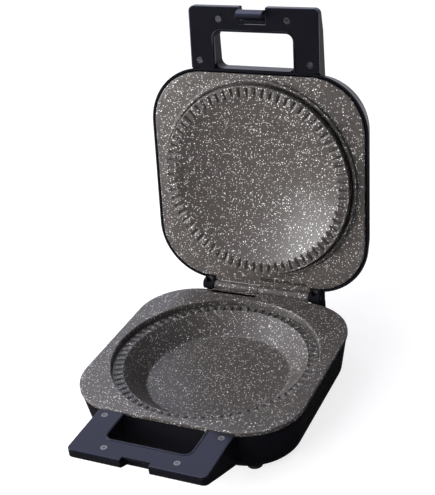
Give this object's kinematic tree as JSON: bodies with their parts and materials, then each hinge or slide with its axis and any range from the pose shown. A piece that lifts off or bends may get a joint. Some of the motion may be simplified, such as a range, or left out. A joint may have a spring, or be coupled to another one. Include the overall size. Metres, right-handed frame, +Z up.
{
  "type": "pie maker",
  "caption": "Electric pie maker standing open: round crimped dish below, domed crimped plate in a hinged lid, looped carrying handle and hook latch.",
  "frame": {"origin": "on the table, under the middle of the round dish", "axes": "+Z up, -Y towards the handle, +X to the right of a person at the handle"},
  "size_m": [0.258, 0.3866, 0.381],
  "materials": {
    "housing": "satin",
    "handle": "satin",
    "coated_plate": "speckled non-stick coating",
    "screw": "blackened",
    "pin": "ground",
    "rubber": "matte",
    "element": "heat-stained",
    "shield": "aluminised",
    "control": "matte",
    "block": "matte",
    "wire": "woven sleeving",
    "red_lens": "clear",
    "green_lens": "clear",
    "lamp": "clear"
  },
  "bodies": {
    "base": {"base_shell": "housing", "lower_plate": "coated_plate", "lower_handle_cover": "handle", "lower_handle_screws": "screw", "base_screws": "screw", "foot_front_left": "rubber", "foot_rear_left": "rubber", "foot_front_right": "rubber", "foot_rear_right": "rubber", "lower_element": "element", "lower_shield": "shield", "lower_shield_screw": "screw", "thermostat": "control", "thermal_fuse": "control", "terminal_block": "block", "inlet_bushing": "rubber", "base_wires": "wire"},
    "lid": {"lid_shell": "housing", "upper_plate": "coated_plate", "upper_handle_cover": "handle", "upper_handle_screws": "screw", "ear_screws": "screw", "upper_element": "element", "upper_shield": "shield", "upper_shield_screw": "screw", "lid_cutout": "control", "power_light_lens": "red_lens", "power_lamp": "lamp", "ready_light_lens": "green_lens", "ready_lamp": "lamp", "lid_wires": "wire", "hinge_pin": "pin", "latch_pin": "pin"},
    "latch": {"latch": "handle"}
  },
  "joints": [
    {"name": "lid_hinge", "type": "hinge", "parent": "base", "child": "lid", "pos_m": [0, 0.1352, 0.0553], "axis": [1, 0, 0], "range_deg": [0, 96.4]},
    {"name": "latch_pivot", "type": "hinge", "parent": "lid", "child": "latch", "pos_m": [0, 0.17597, 0.36539], "axis": [1, 0, 0], "range_deg": [-64, 16]}
  ]
}
